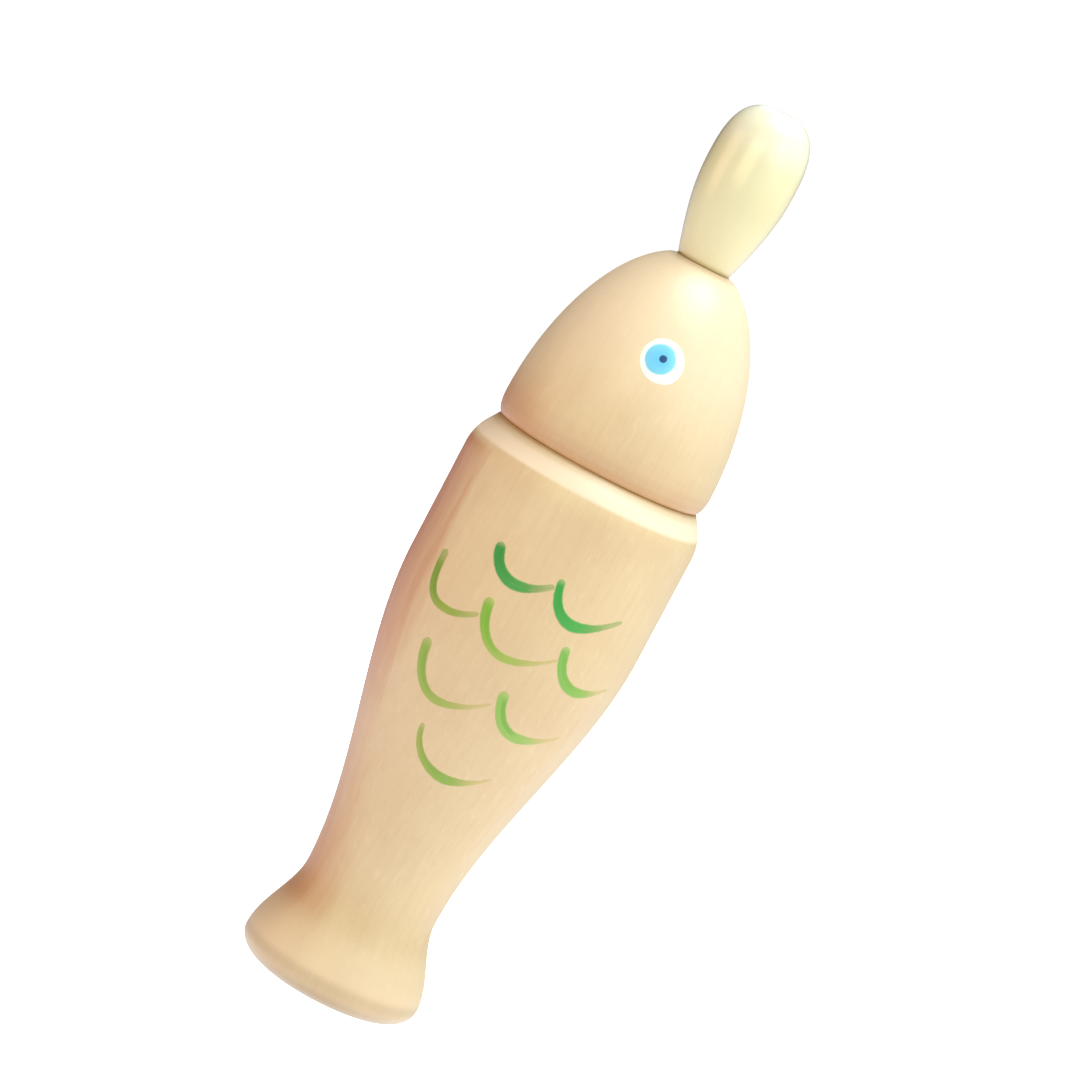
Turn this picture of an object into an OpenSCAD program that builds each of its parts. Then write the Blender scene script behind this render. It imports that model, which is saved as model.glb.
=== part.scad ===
// A fish-shaped guiro of turned wood. The hollow body has rasp kerfs cut across its
// back, the head plugs into the neck, and the scraper is kept in the fish's mouth.
// The fish stands on its tail end: the origin is the middle of that end, +Z runs to
// the nose, and the painted flank faces -Y.

/* [Body] */
// Length of the body, from the tail end to the joint with the head
body_length = 120.7; // [118:0.1:128]
// Radius of the straight barrel
barrel_radius = 25.5; // [25:0.5:28]
// Height above the tail end at which the straight barrel begins
barrel_start = 89; // [82:1:97]
// Height of the bevel under the head
bevel_height = 5.2; // [3:0.2:8]
// Radius of the neck face that the head rests on
neck_radius = 22; // [21.8:0.1:22.6]
// Radius of the narrowest place, above the tail
waist_radius = 14.5; // [13.5:0.1:18]
// Height of the narrowest place
waist_height = 22.2; // [19:0.1:30]
// Radius of the tail's rounded lip
lip_radius = 19.5; // [18:0.5:23]
// Height of the widest place of the lip
lip_height = 4.6; // [4:0.1:8]
// Outer radius of the flat ring that the fish stands on
foot_radius = 12.8; // [10.5:0.1:15]

/* [Hollow] */
// Radius of the socket that takes the head's tenon
socket_radius = 17; // [16.5:0.1:17.5]
// Depth of the socket
socket_depth = 18; // [14:1:22]
// Radius of the resonance chamber
chamber_radius = 15.5; // [13:0.5:16]
// Height of the chamber's lowest place
chamber_floor = 60; // [58:1:64]
// Radius of the sound hole, bored in from the tail end
sound_hole_radius = 8; // [5:0.5:9]

/* [Rasp] */
// Number of kerfs
kerf_count = 11; // [4:1:11]
// Distance from one kerf to the next
kerf_pitch = 4.8; // [4.2:0.1:5]
// Width of a kerf
kerf_width = 2.6; // [1.6:0.1:3]
// Depth of a kerf in the middle of the back
kerf_depth = 2.8; // [2:0.1:3.4]
// Height of the lowest kerf
first_kerf = 60; // [58:1:64]

/* [Head] */
// Largest radius of the head
head_radius = 23.1; // [22.8:0.1:24.5]
// Height of the rounded edge at the head's base
head_edge = 4.2; // [3:0.1:6]
// Height of the dome's full curve above the head's widest place
dome_height = 41.8; // [38:0.1:48]
// Radius of the small flat face round the mouth
mouth_radius = 6.4; // [6:0.1:8]

/* [Scraper] */
// Radius of the stick
stick_radius = 3; // [2.5:0.1:3.5]
// Length of the stick that shows when the scraper is drawn out
stick_reach = 94; // [70:1:96]
// Radius of the knob at its base
knob_base_radius = 5.7; // [5.2:0.1:6.5]
// Largest radius of the knob
knob_radius = 9.5; // [8:0.1:12]
// Length of the knob
knob_length = 34; // [28:0.1:40]

/* [Paint] */
// Thickness of one coat
coat = 0.12; // [0.1:0.01:0.2]
// Height of the eyes above the tail end
eye_height = 146; // [142:0.1:150]
// Radius of the white of an eye
eye_white_radius = 4.6; // [3.5:0.1:5.5]
// Radius of the blue ring
eye_iris_radius = 3.2; // [2:0.1:3.4]
// Radius of the pupil
eye_pupil_radius = 0.8; // [0.5:0.1:1.5]
// Width of the widest brush strokes
stroke_width = 2.1; // [1.2:0.1:2.3]

/* [Hidden] */
$fn = 96;
fit_gap = 0.05;          // radial room of a part that slides in its hole
glue_gap = 0.02;         // radial room of a glued stick
paint_gap = 0.02;        // keeps a coat clear of the wood below it
soft_edge = 0.8;         // small radius where a finger meets an edge
bevel_edge = 11;         // the soft corner below the bevel
step = 1.6;              // distance between points of a curved outline
through = 1;             // how far a cutter runs past what it cuts
tenon_gap = 0.5;         // room below the tenon in its socket
drill_slope = 0.6;       // rise over run of the cone that the drill leaves
dome_tall = 1.91;        // powers of the head's dome; with both at 2 it is an ellipse
dome_wide = 2.09;
mouth_soft = 0.2;        // the softened edge of the mouth's flat face
knob_edge = 0.5;         // small radius at the knob's base
knob_swell = 90;         // part of a wave, in degrees, from the knob's widest place to its base
knob_dome_power = 2.85;  // 2 is an ellipse, more is blunter
white_shift = 1.8;       // how far the coats of an eye sit off the fish's middle line
iris_shift = 1.2;
pupil_shift = 1.6;
iris_lift = 0.2;         // how far the upper coats sit above the white's middle
pupil_lift = 0.5;

bevel_bottom = body_length - bevel_height;
socket_floor = body_length - socket_depth;
tenon_end = socket_floor + tenon_gap;
head_base_radius = neck_radius - 0.3;
chamber_cone = (chamber_radius - sound_hole_radius) * drill_slope;
head_widest = body_length + head_edge;
mouth_height = head_widest
    + dome_height * pow(1 - pow(mouth_radius / head_radius, dome_wide), 1 / dome_tall);
knob_widest = mouth_height + knob_length * 0.58;
knob_tip = mouth_height + knob_length;
stick_end = mouth_height - stick_reach;
knob_socket_depth = knob_length * 0.45;

// One entry for each painted scale: where the brush lands, the lowest place of the
// curve and where it lifts, as [x, z], then the width as a part of stroke_width and
// the number of its green.
SCALES = [
    [[-9.3, 100.6], [-3.6, 94.6], [3.5, 97.3], 1, 0],
    [[4.5, 99.8], [10.3, 92.3], [18.6, 96.5], 1, 0],
    [[-18.3, 93.2], [-13.6, 83.3], [-7, 85.6], 0.65, 1],
    [[-6.2, 89.7], [1.2, 80.6], [10.5, 84.3], 0.85, 2],
    [[11.5, 88.2], [17.1, 80.2], [22.3, 82.3], 0.9, 2],
    [[-13.3, 76.5], [-6.5, 66.5], [3.3, 70.8], 0.8, 2],
    [[5.3, 74.5], [10.8, 66.9], [18.6, 69.9], 0.95, 2],
    [[-6.4, 60.7], [1.9, 52.9], [10.3, 56.4], 0.85, 2],
];
SCALE_GREENS = ["#3ea350", "#8fae45", "#82bd55"];

// ---- outlines ----

// 0 to 1 with a level start and a level end
function ease(t) = t * t * (3 - 2 * t);

// Rounds the corner b between the straight lines to a and to c
function corner(a, b, c, radius, steps = 6) =
    let(
        u = (a - b) / norm(a - b),
        v = (c - b) / norm(c - b),
        half = acos(u * v) / 2,
        centre = b + (u + v) / norm(u + v) * radius / sin(half),
        from = b + u * radius / tan(half) - centre,
        to = b + v * radius / tan(half) - centre,
        start = atan2(from.y, from.x),
        turn = (atan2(to.y, to.x) - start + 540) % 360 - 180
    )
    [for (k = [0:steps]) centre + radius * [cos(start + turn * k / steps), sin(start + turn * k / steps)]];

// Radius of the body's outside at height z, from the lip up to the bevel
function body_radius(z) =
    z < waist_height
    ? lip_radius + (waist_radius - lip_radius) * ease((z - lip_height) / (waist_height - lip_height))
    : z < barrel_start
    ? waist_radius + (barrel_radius - waist_radius)
        * ease((z - waist_height) / (barrel_start - waist_height))
    : barrel_radius;

// Radius of the head's dome at height z
function head_dome(z) =
    head_radius * pow(1 - pow(abs(z - head_widest) / dome_height, dome_tall), 1 / dome_wide);

// Heights from low to high, about one step apart
function heights(low, high) =
    let(count = ceil((high - low) / step))
    [for (k = [0:count]) low + (high - low) * k / count];

function body_outline() = concat(
    [[0, 0]],
    [for (a = [0:9:90])
        [foot_radius + (lip_radius - foot_radius) * sin(a), lip_height * (1 - cos(a))]],
    [for (z = heights(lip_height, waist_height)) if (z > lip_height) [body_radius(z), z]],
    [for (z = heights(waist_height, barrel_start)) if (z > waist_height) [body_radius(z), z]],
    corner([barrel_radius, barrel_start], [barrel_radius, bevel_bottom],
        [neck_radius, body_length], bevel_edge),
    corner([barrel_radius, bevel_bottom], [neck_radius, body_length],
        [0, body_length], soft_edge),
    [[0, body_length]]
);

function head_outline() = concat(
    [[0, tenon_end]],
    corner([0, tenon_end], [socket_radius - fit_gap, tenon_end],
        [socket_radius - fit_gap, body_length], soft_edge),
    [[socket_radius - fit_gap, body_length]],
    [for (a = [0:10:90])
        [head_base_radius + (head_radius - head_base_radius) * sin(a),
            body_length + head_edge * (1 - cos(a))]],
    [for (z = heights(head_widest, mouth_height - 2 * mouth_soft))
        if (z > head_widest) [head_dome(z), z]],
    [[mouth_radius - mouth_soft, mouth_height], [0, mouth_height]]
);

function knob_outline() = concat(
    [[0, mouth_height]],
    corner([0, mouth_height], [knob_base_radius, mouth_height],
        [knob_base_radius + 1, mouth_height + 4], knob_edge, 3),
    [for (t = [1 / 7:1 / 14:1])
        let(bow = (1 - cos(knob_swell * (1 - t))) / (1 - cos(knob_swell)))
        [knob_radius + (knob_base_radius - knob_radius) * bow,
            mouth_height + (knob_widest - mouth_height) * t]],
    [for (a = [6:6:84])
        [knob_radius * pow(cos(a), 2 / knob_dome_power),
            knob_widest + (knob_tip - knob_widest) * pow(sin(a), 2 / knob_dome_power)]],
    [[0, knob_tip]]
);

function stick_outline() = concat(
    [for (a = [0:10:90]) [stick_radius * sin(a), stick_end + stick_radius * (1 - cos(a))]],
    corner([stick_radius, stick_end], [stick_radius, mouth_height + knob_socket_depth],
        [0, mouth_height + knob_socket_depth], soft_edge),
    [[0, mouth_height + knob_socket_depth]]
);

// ---- wooden pieces ----

module turned(outline) {
    rotate_extrude() polygon(outline);
}

// Takes the sharp edge off the mouth of a hole; flip it for a mouth that faces down
module mouth_cutter(radius) {
    cylinder(r1 = radius, r2 = radius + soft_edge + through, h = soft_edge + through);
}

// A straight round-bottomed cut across the back
module kerf(z) {
    translate([0, body_radius(z) - kerf_depth + kerf_width / 2, z])
    rotate([0, 90, 0]) {
        cylinder(d = kerf_width, h = 2 * barrel_radius, center = true);
        translate([-kerf_width / 2, 0, -barrel_radius])
        cube([kerf_width, 2 * kerf_depth, 2 * barrel_radius]);
    }
}

module body() {
    color("#e8cda5")
    difference() {
        turned(body_outline());
        // sound hole
        translate([0, 0, -through])
        cylinder(r = sound_hole_radius, h = chamber_floor + 2 * through);
        mirror([0, 0, 1])
        translate([0, 0, -soft_edge])
        mouth_cutter(sound_hole_radius);
        // resonance chamber, with the cone that the drill leaves at its floor
        translate([0, 0, chamber_floor])
        cylinder(r1 = sound_hole_radius, r2 = chamber_radius, h = chamber_cone);
        translate([0, 0, chamber_floor + chamber_cone])
        cylinder(r = chamber_radius, h = body_length);
        // socket for the head
        translate([0, 0, socket_floor])
        cylinder(r = socket_radius, h = socket_depth + through);
        for (k = [0:kerf_count - 1])
            kerf(first_kerf + k * kerf_pitch);
    }
}

module head() {
    color("#ecd2aa")
    difference() {
        turned(head_outline());
        translate([0, 0, tenon_end - through])
        cylinder(r = stick_radius + fit_gap, h = mouth_height - tenon_end + 2 * through);
    }
}

module scraper_stick() {
    color("#dcc193")
    turned(stick_outline());
}

module scraper_knob() {
    color("#f6f0c0")
    difference() {
        turned(knob_outline());
        translate([0, 0, mouth_height - through])
        cylinder(r = stick_radius + glue_gap, h = knob_socket_depth + glue_gap + through);
    }
}

// ---- paint ----

// A ring of paint lying on the head, as the given coat counted from the wood
module head_coat(number) {
    band = heights(eye_height - eye_white_radius - 1, eye_height + eye_white_radius + 1);
    low = paint_gap + (number - 1) * (coat + paint_gap);
    rotate_extrude()
    polygon(concat(
        [for (z = band) [head_dome(z) + low, z]],
        [for (k = [len(band) - 1:-1:0]) [head_dome(band[k]) + low + coat, band[k]]]
    ));
}

// A round spot on one side of the head: side is -1 for the painted flank, 1 for the back
module eye_spot(side, radius, number, x, z) {
    intersection() {
        head_coat(number);
        translate([x, 0, eye_height + z])
        rotate([-90 * side, 0, 0])
        cylinder(r = radius, h = head_radius + 2);
    }
}

module eye_white(side) {
    color("#fbfbf7") eye_spot(side, eye_white_radius, 1, white_shift, 0);
}

module eye_iris(side) {
    color("#5fcbf6") eye_spot(side, eye_iris_radius, 2, iris_shift, iris_lift);
}

module eye_pupil(side) {
    color("#174a80") eye_spot(side, eye_pupil_radius, 3, pupil_shift, pupil_lift);
}

// Points along a brush stroke: a quarter turn down from the start, then a lifting sweep
function stroke_path(start, low, end) = concat(
    [for (a = [0:10:80])
        [low.x - (low.x - start.x) * cos(a), low.y + (start.y - low.y) * (1 - sin(a))]],
    [for (t = [0:0.1:1])
        [low.x + (end.x - low.x) * t, low.y + (end.y - low.y) * pow(t, 1.8)]]
);

// Part of the full width at place t along a stroke: a blunt start, a full belly, a thin tail
function stroke_shape(t) =
    t < 0.08 ? 0.4 + 0.42 * sin(t / 0.08 * 90)
    : t < 0.4 ? 0.82 + 0.18 * ease((t - 0.08) / 0.32)
    : 1 - 0.78 * ease((t - 0.4) / 0.6);

module stroke(start, low, end, width) {
    path = stroke_path(start, low, end);
    last = len(path) - 1;
    side = [for (k = [0:last])
        let(along = path[min(k + 1, last)] - path[max(k - 1, 0)])
        [-along.y, along.x] / norm(along) * width / 2 * stroke_shape(k / last)];
    polygon(concat(
        [for (k = [0:last]) path[k] + side[k]],
        [for (k = [last:-1:0]) path[k] - side[k]]
    ));
}

module scale_mark(number) {
    mark = SCALES[number - 1];
    band = heights(mark[1].y - 3, mark[0].y + 3);
    color(SCALE_GREENS[mark[4]])
    intersection() {
        rotate_extrude()
        polygon(concat(
            [for (z = band) [body_radius(z) + paint_gap, z]],
            [for (k = [len(band) - 1:-1:0]) [body_radius(band[k]) + paint_gap + coat, band[k]]]
        ));
        rotate([90, 0, 0])
        linear_extrude(barrel_radius + 2)
        stroke(mark[0], mark[1], mark[2], stroke_width * mark[3]);
    }
}

body();
head();
scraper_stick();
scraper_knob();
eye_white(-1);  // front_eye_white
eye_iris(-1);  // front_eye_iris
eye_pupil(-1);  // front_eye_pupil
eye_white(1);  // back_eye_white
eye_iris(1);  // back_eye_iris
eye_pupil(1);  // back_eye_pupil
scale_mark(1);  // scale_1
scale_mark(2);  // scale_2
scale_mark(3);  // scale_3
scale_mark(4);  // scale_4
scale_mark(5);  // scale_5
scale_mark(6);  // scale_6
scale_mark(7);  // scale_7
scale_mark(8);  // scale_8
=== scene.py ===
"""The looks of a fish-shaped wooden guiro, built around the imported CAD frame.

Lengths in the tables and profiles are in millimetres and become metres when a mesh
is made. The fish stands on its tail: +Z runs to the nose, the painted flank faces -Y
and the rasp faces +Y.
"""
import math

import bpy
from mathutils import Matrix, Vector, noise


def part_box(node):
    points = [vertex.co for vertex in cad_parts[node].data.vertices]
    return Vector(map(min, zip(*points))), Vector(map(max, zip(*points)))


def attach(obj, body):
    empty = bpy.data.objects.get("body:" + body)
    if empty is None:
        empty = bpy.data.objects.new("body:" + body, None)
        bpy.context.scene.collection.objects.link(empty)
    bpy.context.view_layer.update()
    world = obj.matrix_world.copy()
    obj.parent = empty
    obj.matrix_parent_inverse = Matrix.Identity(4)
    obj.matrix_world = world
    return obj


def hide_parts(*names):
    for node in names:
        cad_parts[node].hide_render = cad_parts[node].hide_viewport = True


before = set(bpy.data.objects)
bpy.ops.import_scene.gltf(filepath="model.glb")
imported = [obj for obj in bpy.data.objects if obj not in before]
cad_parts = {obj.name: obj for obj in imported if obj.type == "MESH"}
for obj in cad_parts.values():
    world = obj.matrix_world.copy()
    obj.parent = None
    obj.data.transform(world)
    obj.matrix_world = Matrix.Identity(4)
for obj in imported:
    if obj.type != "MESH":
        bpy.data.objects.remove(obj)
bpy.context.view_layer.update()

MM = 0.001

# ---- sizes read from the frame ----

_, body_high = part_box("body")
head_low, head_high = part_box("head")
_, knob_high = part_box("scraper_knob")
stick_low, stick_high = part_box("scraper_stick")

BARREL_R = body_high[0] / MM
TENON_END = head_low[2] / MM
HEAD_R = head_high[0] / MM
MOUTH_Z = head_high[2] / MM
KNOB_R = knob_high[0] / MM
KNOB_TIP = knob_high[2] / MM
STICK_R = stick_high[0] / MM
STICK_END = stick_low[2] / MM
STICK_TOP = stick_high[2] / MM

# ---- sizes of the turned shapes ----

FOOT_R = 12.8           # outer edge of the flat ring that the fish stands on
LIP_R = 19.5            # the tail's widest place
LIP_Z = 4.6
WAIST_R = 14.5
WAIST_Z = 22.2
BARREL_Z = 89.0         # where the barrel becomes straight
BEVEL_HEIGHT = 5.2
BEVEL_ROUNDING = 11.0   # radius of the soft corner from barrel to bevel
NECK_R = 22.0           # the bevel's top edge
SOCKET_DEPTH = 18.0
SOCKET_R = 17.0
CHAMBER_R = 15.5
CHAMBER_Z = 60.0        # where the chamber's drill cone starts
DRILL_SLOPE = 0.6       # height of the drill cone for each millimetre of radius
SOUND_HOLE_R = 8.0
HEAD_BASE_R = 21.7
HEAD_EDGE = 4.2         # height of the rounded edge below the head's widest place
DOME_HEIGHT = 41.8      # from the head's widest place to the dome's full top
DOME_TALL = 1.91        # powers of the dome's curve; 2 and 2 would be an ellipse
DOME_WIDE = 2.09
MOUTH_R = 6.4
KNOB_BASE_R = 5.7
KNOB_DOME_POWER = 2.85  # of the knob's rounded end; 2 would be an ellipse
KNOB_WIDEST = 0.58      # place of the knob's widest ring, as a part of its length
KNOB_BORE = 0.45        # depth of the knob's blind hole, as a part of its length
CLEARANCE = 0.05        # radial room of the tenon in its socket and the stick in its bore
GLUE_ROOM = 0.02        # radial room of the stick in the knob's hole

TENON_R = SOCKET_R - CLEARANCE
BORE_R = STICK_R + CLEARANCE

HEAD_WIDEST_Z = MOUTH_Z - DOME_HEIGHT * (1 - (MOUTH_R / HEAD_R) ** DOME_WIDE) ** (1 / DOME_TALL)
BODY_TOP = HEAD_WIDEST_Z - HEAD_EDGE
BEVEL_Z = BODY_TOP - BEVEL_HEIGHT
SOCKET_Z = BODY_TOP - SOCKET_DEPTH
KNOB_WIDEST_Z = MOUTH_Z + KNOB_WIDEST * (KNOB_TIP - MOUTH_Z)

KERF_COUNT = 11
KERF_FIRST_Z = 60.0
KERF_PITCH = 4.8
KERF_HALF = 1.3         # half a kerf's width, and the radius of its bottom
KERF_DEPTH = 2.8

SEGMENTS = 240          # mesh columns round a turned piece
SHARP_ANGLE = 48        # degrees; a fold that is sharper keeps a hard edge

# Each painted scale: where the brush lands, the lowest place of the curve and where it
# lifts, as (x, z); how square its turn is (2 is round); its width at those three places;
# and the paint's colour at them.
SCALES = [
    ((-9.3, 100.6), (-3.6, 94.5), (3.7, 97.8), 2.0,
     (2.30, 2.60, 1.35), ("#2f963c", "#3fa248", "#749c46")),
    ((4.5, 99.8), (10.3, 92.3), (18.7, 96.8), 2.0,
     (1.80, 2.65, 1.05), ("#36a644", "#42ac4a", "#82a04e")),
    ((-18.4, 93.5), (-13.0, 83.4), (-6.9, 86.0), 3.0,
     (1.60, 1.80, 1.15), ("#779a1e", "#96ae42", "#98aa46")),
    ((-6.2, 90.0), (1.2, 80.6), (11.1, 85.0), 2.0,
     (2.30, 2.00, 0.70), ("#80b834", "#a6be58", "#c8b674")),
    ((11.5, 88.2), (17.1, 80.2), (22.5, 82.6), 2.0,
     (1.95, 2.40, 0.70), ("#80bb54", "#88bc50", "#d0b87c")),
    ((-13.3, 76.7), (-6.5, 66.5), (3.5, 71.1), 2.0,
     (2.20, 1.95, 0.80), ("#94b446", "#a4b856", "#ccbb80")),
    ((4.9, 74.8), (10.8, 66.9), (18.7, 70.1), 2.0,
     (2.35, 2.45, 0.60), ("#92c25a", "#98c260", "#d8bd80")),
    ((-6.5, 61.1), (1.9, 52.9), (10.4, 56.7), 2.0,
     (1.15, 2.30, 0.70), ("#a6b250", "#8eb44c", "#d2b876")),
]

STROKE_TURN = 0.46      # part of a stroke's course that is the quarter turn down
STROKE_SUNK = 0.05      # how far a stroke's underside reaches into the wood
LOADED_STROKE = 7       # the stroke that was painted with the fullest brush

# The eye's coats from the wood up: name of the mesh, slot and node; middle as (x, z from
# the eye's middle) and reach; height of the rim and of the dome over the wood; seed of
# the uneven rim; and where and how much it bulges, as (angle in degrees, part).
EYE_Z = 146.0
EYE_COATS = [
    ("white_dab", "white", "white", (1.5, 0.05), 4.45, (-0.02, 0.13), 1.3, (-25, 0.13)),
    ("blue_dab", "blue", "iris", (1.2, 0.2), 3.15, (0.11, 0.25), 4.1, (200, 0.03)),
    ("navy_dot", "navy", "pupil", (1.6, 0.5), 0.83, (0.23, 0.38), 7.7, (60, 0.08)),
]
SPOT_RIM = 0.02         # thickness of a dab of paint at its rim


# ---- profiles ----

def ease(t):
    """0 to 1 with a level start and a level end."""
    return t * t * (3 - 2 * t)


def body_radius(z):
    """Radius of the body's outside between the lip and the bevel."""
    if z < WAIST_Z:
        return LIP_R + (WAIST_R - LIP_R) * ease((z - LIP_Z) / (WAIST_Z - LIP_Z))
    if z < BARREL_Z:
        return WAIST_R + (BARREL_R - WAIST_R) * ease((z - WAIST_Z) / (BARREL_Z - WAIST_Z))
    return BARREL_R


def head_radius(z):
    """Radius of the head's dome above its widest place."""
    up = min(1.0, abs(z - HEAD_WIDEST_Z) / DOME_HEIGHT)
    return HEAD_R * (1 - up ** DOME_TALL) ** (1 / DOME_WIDE)


def span(low, high, step):
    """Values from low to high, about one step apart, both ends included."""
    count = max(1, math.ceil(abs(high - low) / step))
    return [low + (high - low) * k / count for k in range(count + 1)]


def corner(before, at, after, radius, steps=6):
    """Points of the arc that rounds the corner between two straight lines."""
    a, b, c = Vector(before), Vector(at), Vector(after)
    u, v = (a - b).normalized(), (c - b).normalized()
    half = math.acos(max(-1.0, min(1.0, u.dot(v)))) / 2
    centre = b + (u + v).normalized() * radius / math.sin(half)
    start = b + u * radius / math.tan(half) - centre
    end = b + v * radius / math.tan(half) - centre
    turn = math.atan2(start.cross(end), start.dot(end))
    points = []
    for k in range(steps + 1):
        spoke = Matrix.Rotation(turn * k / steps, 2) @ start
        points.append(tuple(centre + spoke))
    return points


# ---- meshes ----

def new_object(name, verts, faces, values=None):
    """A smooth-shaded mesh object; values maps an attribute's name to one number a vertex."""
    mesh = bpy.data.meshes.new(name)
    mesh.from_pydata([(x * MM, y * MM, z * MM) for x, y, z in verts], [], faces)
    for key, numbers in (values or {}).items():
        layer = mesh.attributes.new(key, "FLOAT", "POINT")
        layer.data.foreach_set("value", numbers)
    mesh.shade_smooth()
    mesh.set_sharp_from_angle(angle=math.radians(SHARP_ANGLE))
    mesh.validate()
    obj = bpy.data.objects.new(name, mesh)
    bpy.context.scene.collection.objects.link(obj)
    return obj


def turned(name, outline, shape=None, closed=False):
    """Turns an outline of (radius, z, inner) about Z; the points run with the solid on their left.

    shape(angle, radius, z, row) may change a point's radius and gives its cut depth.
    A closed outline makes a piece with a hole right through; an open one has both its
    ends on the axis.
    """
    verts, faces, inner, cut = [], [], [], []
    rows = []
    for number, (radius, z, is_inner) in enumerate(outline):
        if radius < 1e-6:
            rows.append([len(verts)] * SEGMENTS)
            verts.append((0.0, 0.0, z))
            inner.append(is_inner)
            cut.append(0.0)
            continue
        rows.append(list(range(len(verts), len(verts) + SEGMENTS)))
        for k in range(SEGMENTS):
            angle = 2 * math.pi * k / SEGMENTS
            r, depth = shape(angle, radius, z, number) if shape else (radius, 0.0)
            verts.append((r * math.cos(angle), r * math.sin(angle), z))
            inner.append(is_inner)
            cut.append(depth)
    for low, high in zip(rows, rows[1:] + rows[:1] if closed else rows[1:]):
        for k in range(SEGMENTS):
            n = (k + 1) % SEGMENTS
            ring = [low[k], low[n], high[n], high[k]]
            face = [v for i, v in enumerate(ring) if v != ring[i - 1]]
            if len(face) > 2:
                faces.append(face)
    return new_object(name, verts, faces, {"inner": inner, "cut": cut})


def outside(points):
    """Outline points on sanded outside wood."""
    return [(r, z, 0.0) for r, z in points]


def inside(points):
    """Outline points in a bore or on a tenon."""
    return [(r, z, 1.0) for r, z in points]


def quarter(radius, step):
    """(across, up) along a quarter circle from its bottom, a step in whole degrees apart."""
    turns = [math.radians(a) for a in range(0, 91, step)]
    return [(radius * math.sin(turn), radius * (1 - math.cos(turn))) for turn in turns]


def kerf_rows():
    """One kerf's section from its middle to its edge, as (across, height, drop).

    height is the cut's height above the kerf's bottom. The softened edge has None there
    and a drop below the surface instead.
    """
    rows = [(across, height, None) for across, height in quarter(KERF_HALF, 18)]
    rows.append((KERF_HALF + 0.02, (KERF_HALF + KERF_DEPTH) / 2, None))
    for beyond, drop in ((0.05, 0.30), (0.14, 0.10), (0.30, 0.02), (0.50, 0.0)):
        rows.append((KERF_HALF + beyond, None, drop))
    return rows


def barrel_rows():
    """(z, cut) from the waist to the bevel.

    cut is None on plain wood, else (the kerf's centre, height, drop).
    """
    rows = []
    section = kerf_rows()
    reach = section[-1][0]
    centres = [KERF_FIRST_Z + KERF_PITCH * k for k in range(KERF_COUNT)]
    for z in span(WAIST_Z, centres[0] - reach - 0.4, 1.4)[1:]:
        rows.append((z, None))
    for centre in centres:
        for across, height, drop in reversed(section):
            rows.append((centre - across, (centre, height, drop)))
        for across, height, drop in section[1:]:
            rows.append((centre + across, (centre, height, drop)))
    for z in span(centres[-1] + reach + 0.4, BEVEL_Z - 4.2, 1.4):
        rows.append((z, None))
    return rows


def make_body():
    """The turned body: tail, barrel with the rasp, bevel, neck socket, chamber and sound hole."""
    cuts = {}
    outline = inside([(SOUND_HOLE_R + 0.9, 0.0)])
    outline += outside([(r, 0.0) for r in span(SOUND_HOLE_R + 1.4, FOOT_R - 0.4, 0.6)])
    for a in range(0, 90, 5):
        lift = math.radians(a)
        outline += outside([(
            FOOT_R + (LIP_R - FOOT_R) * math.sin(lift), LIP_Z * (1 - math.cos(lift)))])
    outline += outside([(body_radius(z), z) for z in span(LIP_Z, WAIST_Z, 1.0)])
    for z, cut in barrel_rows():
        if cut:
            cuts[len(outline)] = cut
        outline += outside([(body_radius(z), z)])
    outline += outside(corner(
        (BARREL_R, BARREL_Z), (BARREL_R, BEVEL_Z), (NECK_R, BODY_TOP), BEVEL_ROUNDING, 10))
    outline += outside(corner((BARREL_R, BEVEL_Z), (NECK_R, BODY_TOP), (0, BODY_TOP), 0.8, 5))
    outline += outside([(21.0, BODY_TOP), (19.0, BODY_TOP)])
    outline += inside(corner(
        (NECK_R, BODY_TOP), (SOCKET_R, BODY_TOP), (SOCKET_R, SOCKET_Z), 0.4, 3))
    outline += inside([(SOCKET_R, z) for z in span(BODY_TOP - 1.5, SOCKET_Z, 4.0)])
    outline += inside([(CHAMBER_R + 0.3, SOCKET_Z)])
    cone_top = CHAMBER_Z + DRILL_SLOPE * (CHAMBER_R - SOUND_HOLE_R)
    outline += inside([(CHAMBER_R, z) for z in span(SOCKET_Z - 0.3, cone_top, 5.0)])
    outline += inside([(SOUND_HOLE_R, z) for z in span(CHAMBER_Z, 0.9, 6.0)])
    outline += inside([(SOUND_HOLE_R + 0.25, 0.35)])

    def rasp(angle, radius, z, number):
        """Kerfs cut straight across the back: a point's radius there, and its cut depth."""
        up = math.sin(angle)
        if number not in cuts or up < 0.5:
            return radius, 0.0
        centre, height, drop = cuts[number]
        bottom = body_radius(centre) - KERF_DEPTH
        full = max(0.0, radius - bottom / up)
        depth = min(full, drop) if height is None else max(0.0, radius - (bottom + height) / up)
        return radius - depth, depth / KERF_DEPTH

    return turned("fish_body_turned", outline, rasp, closed=True)


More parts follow.
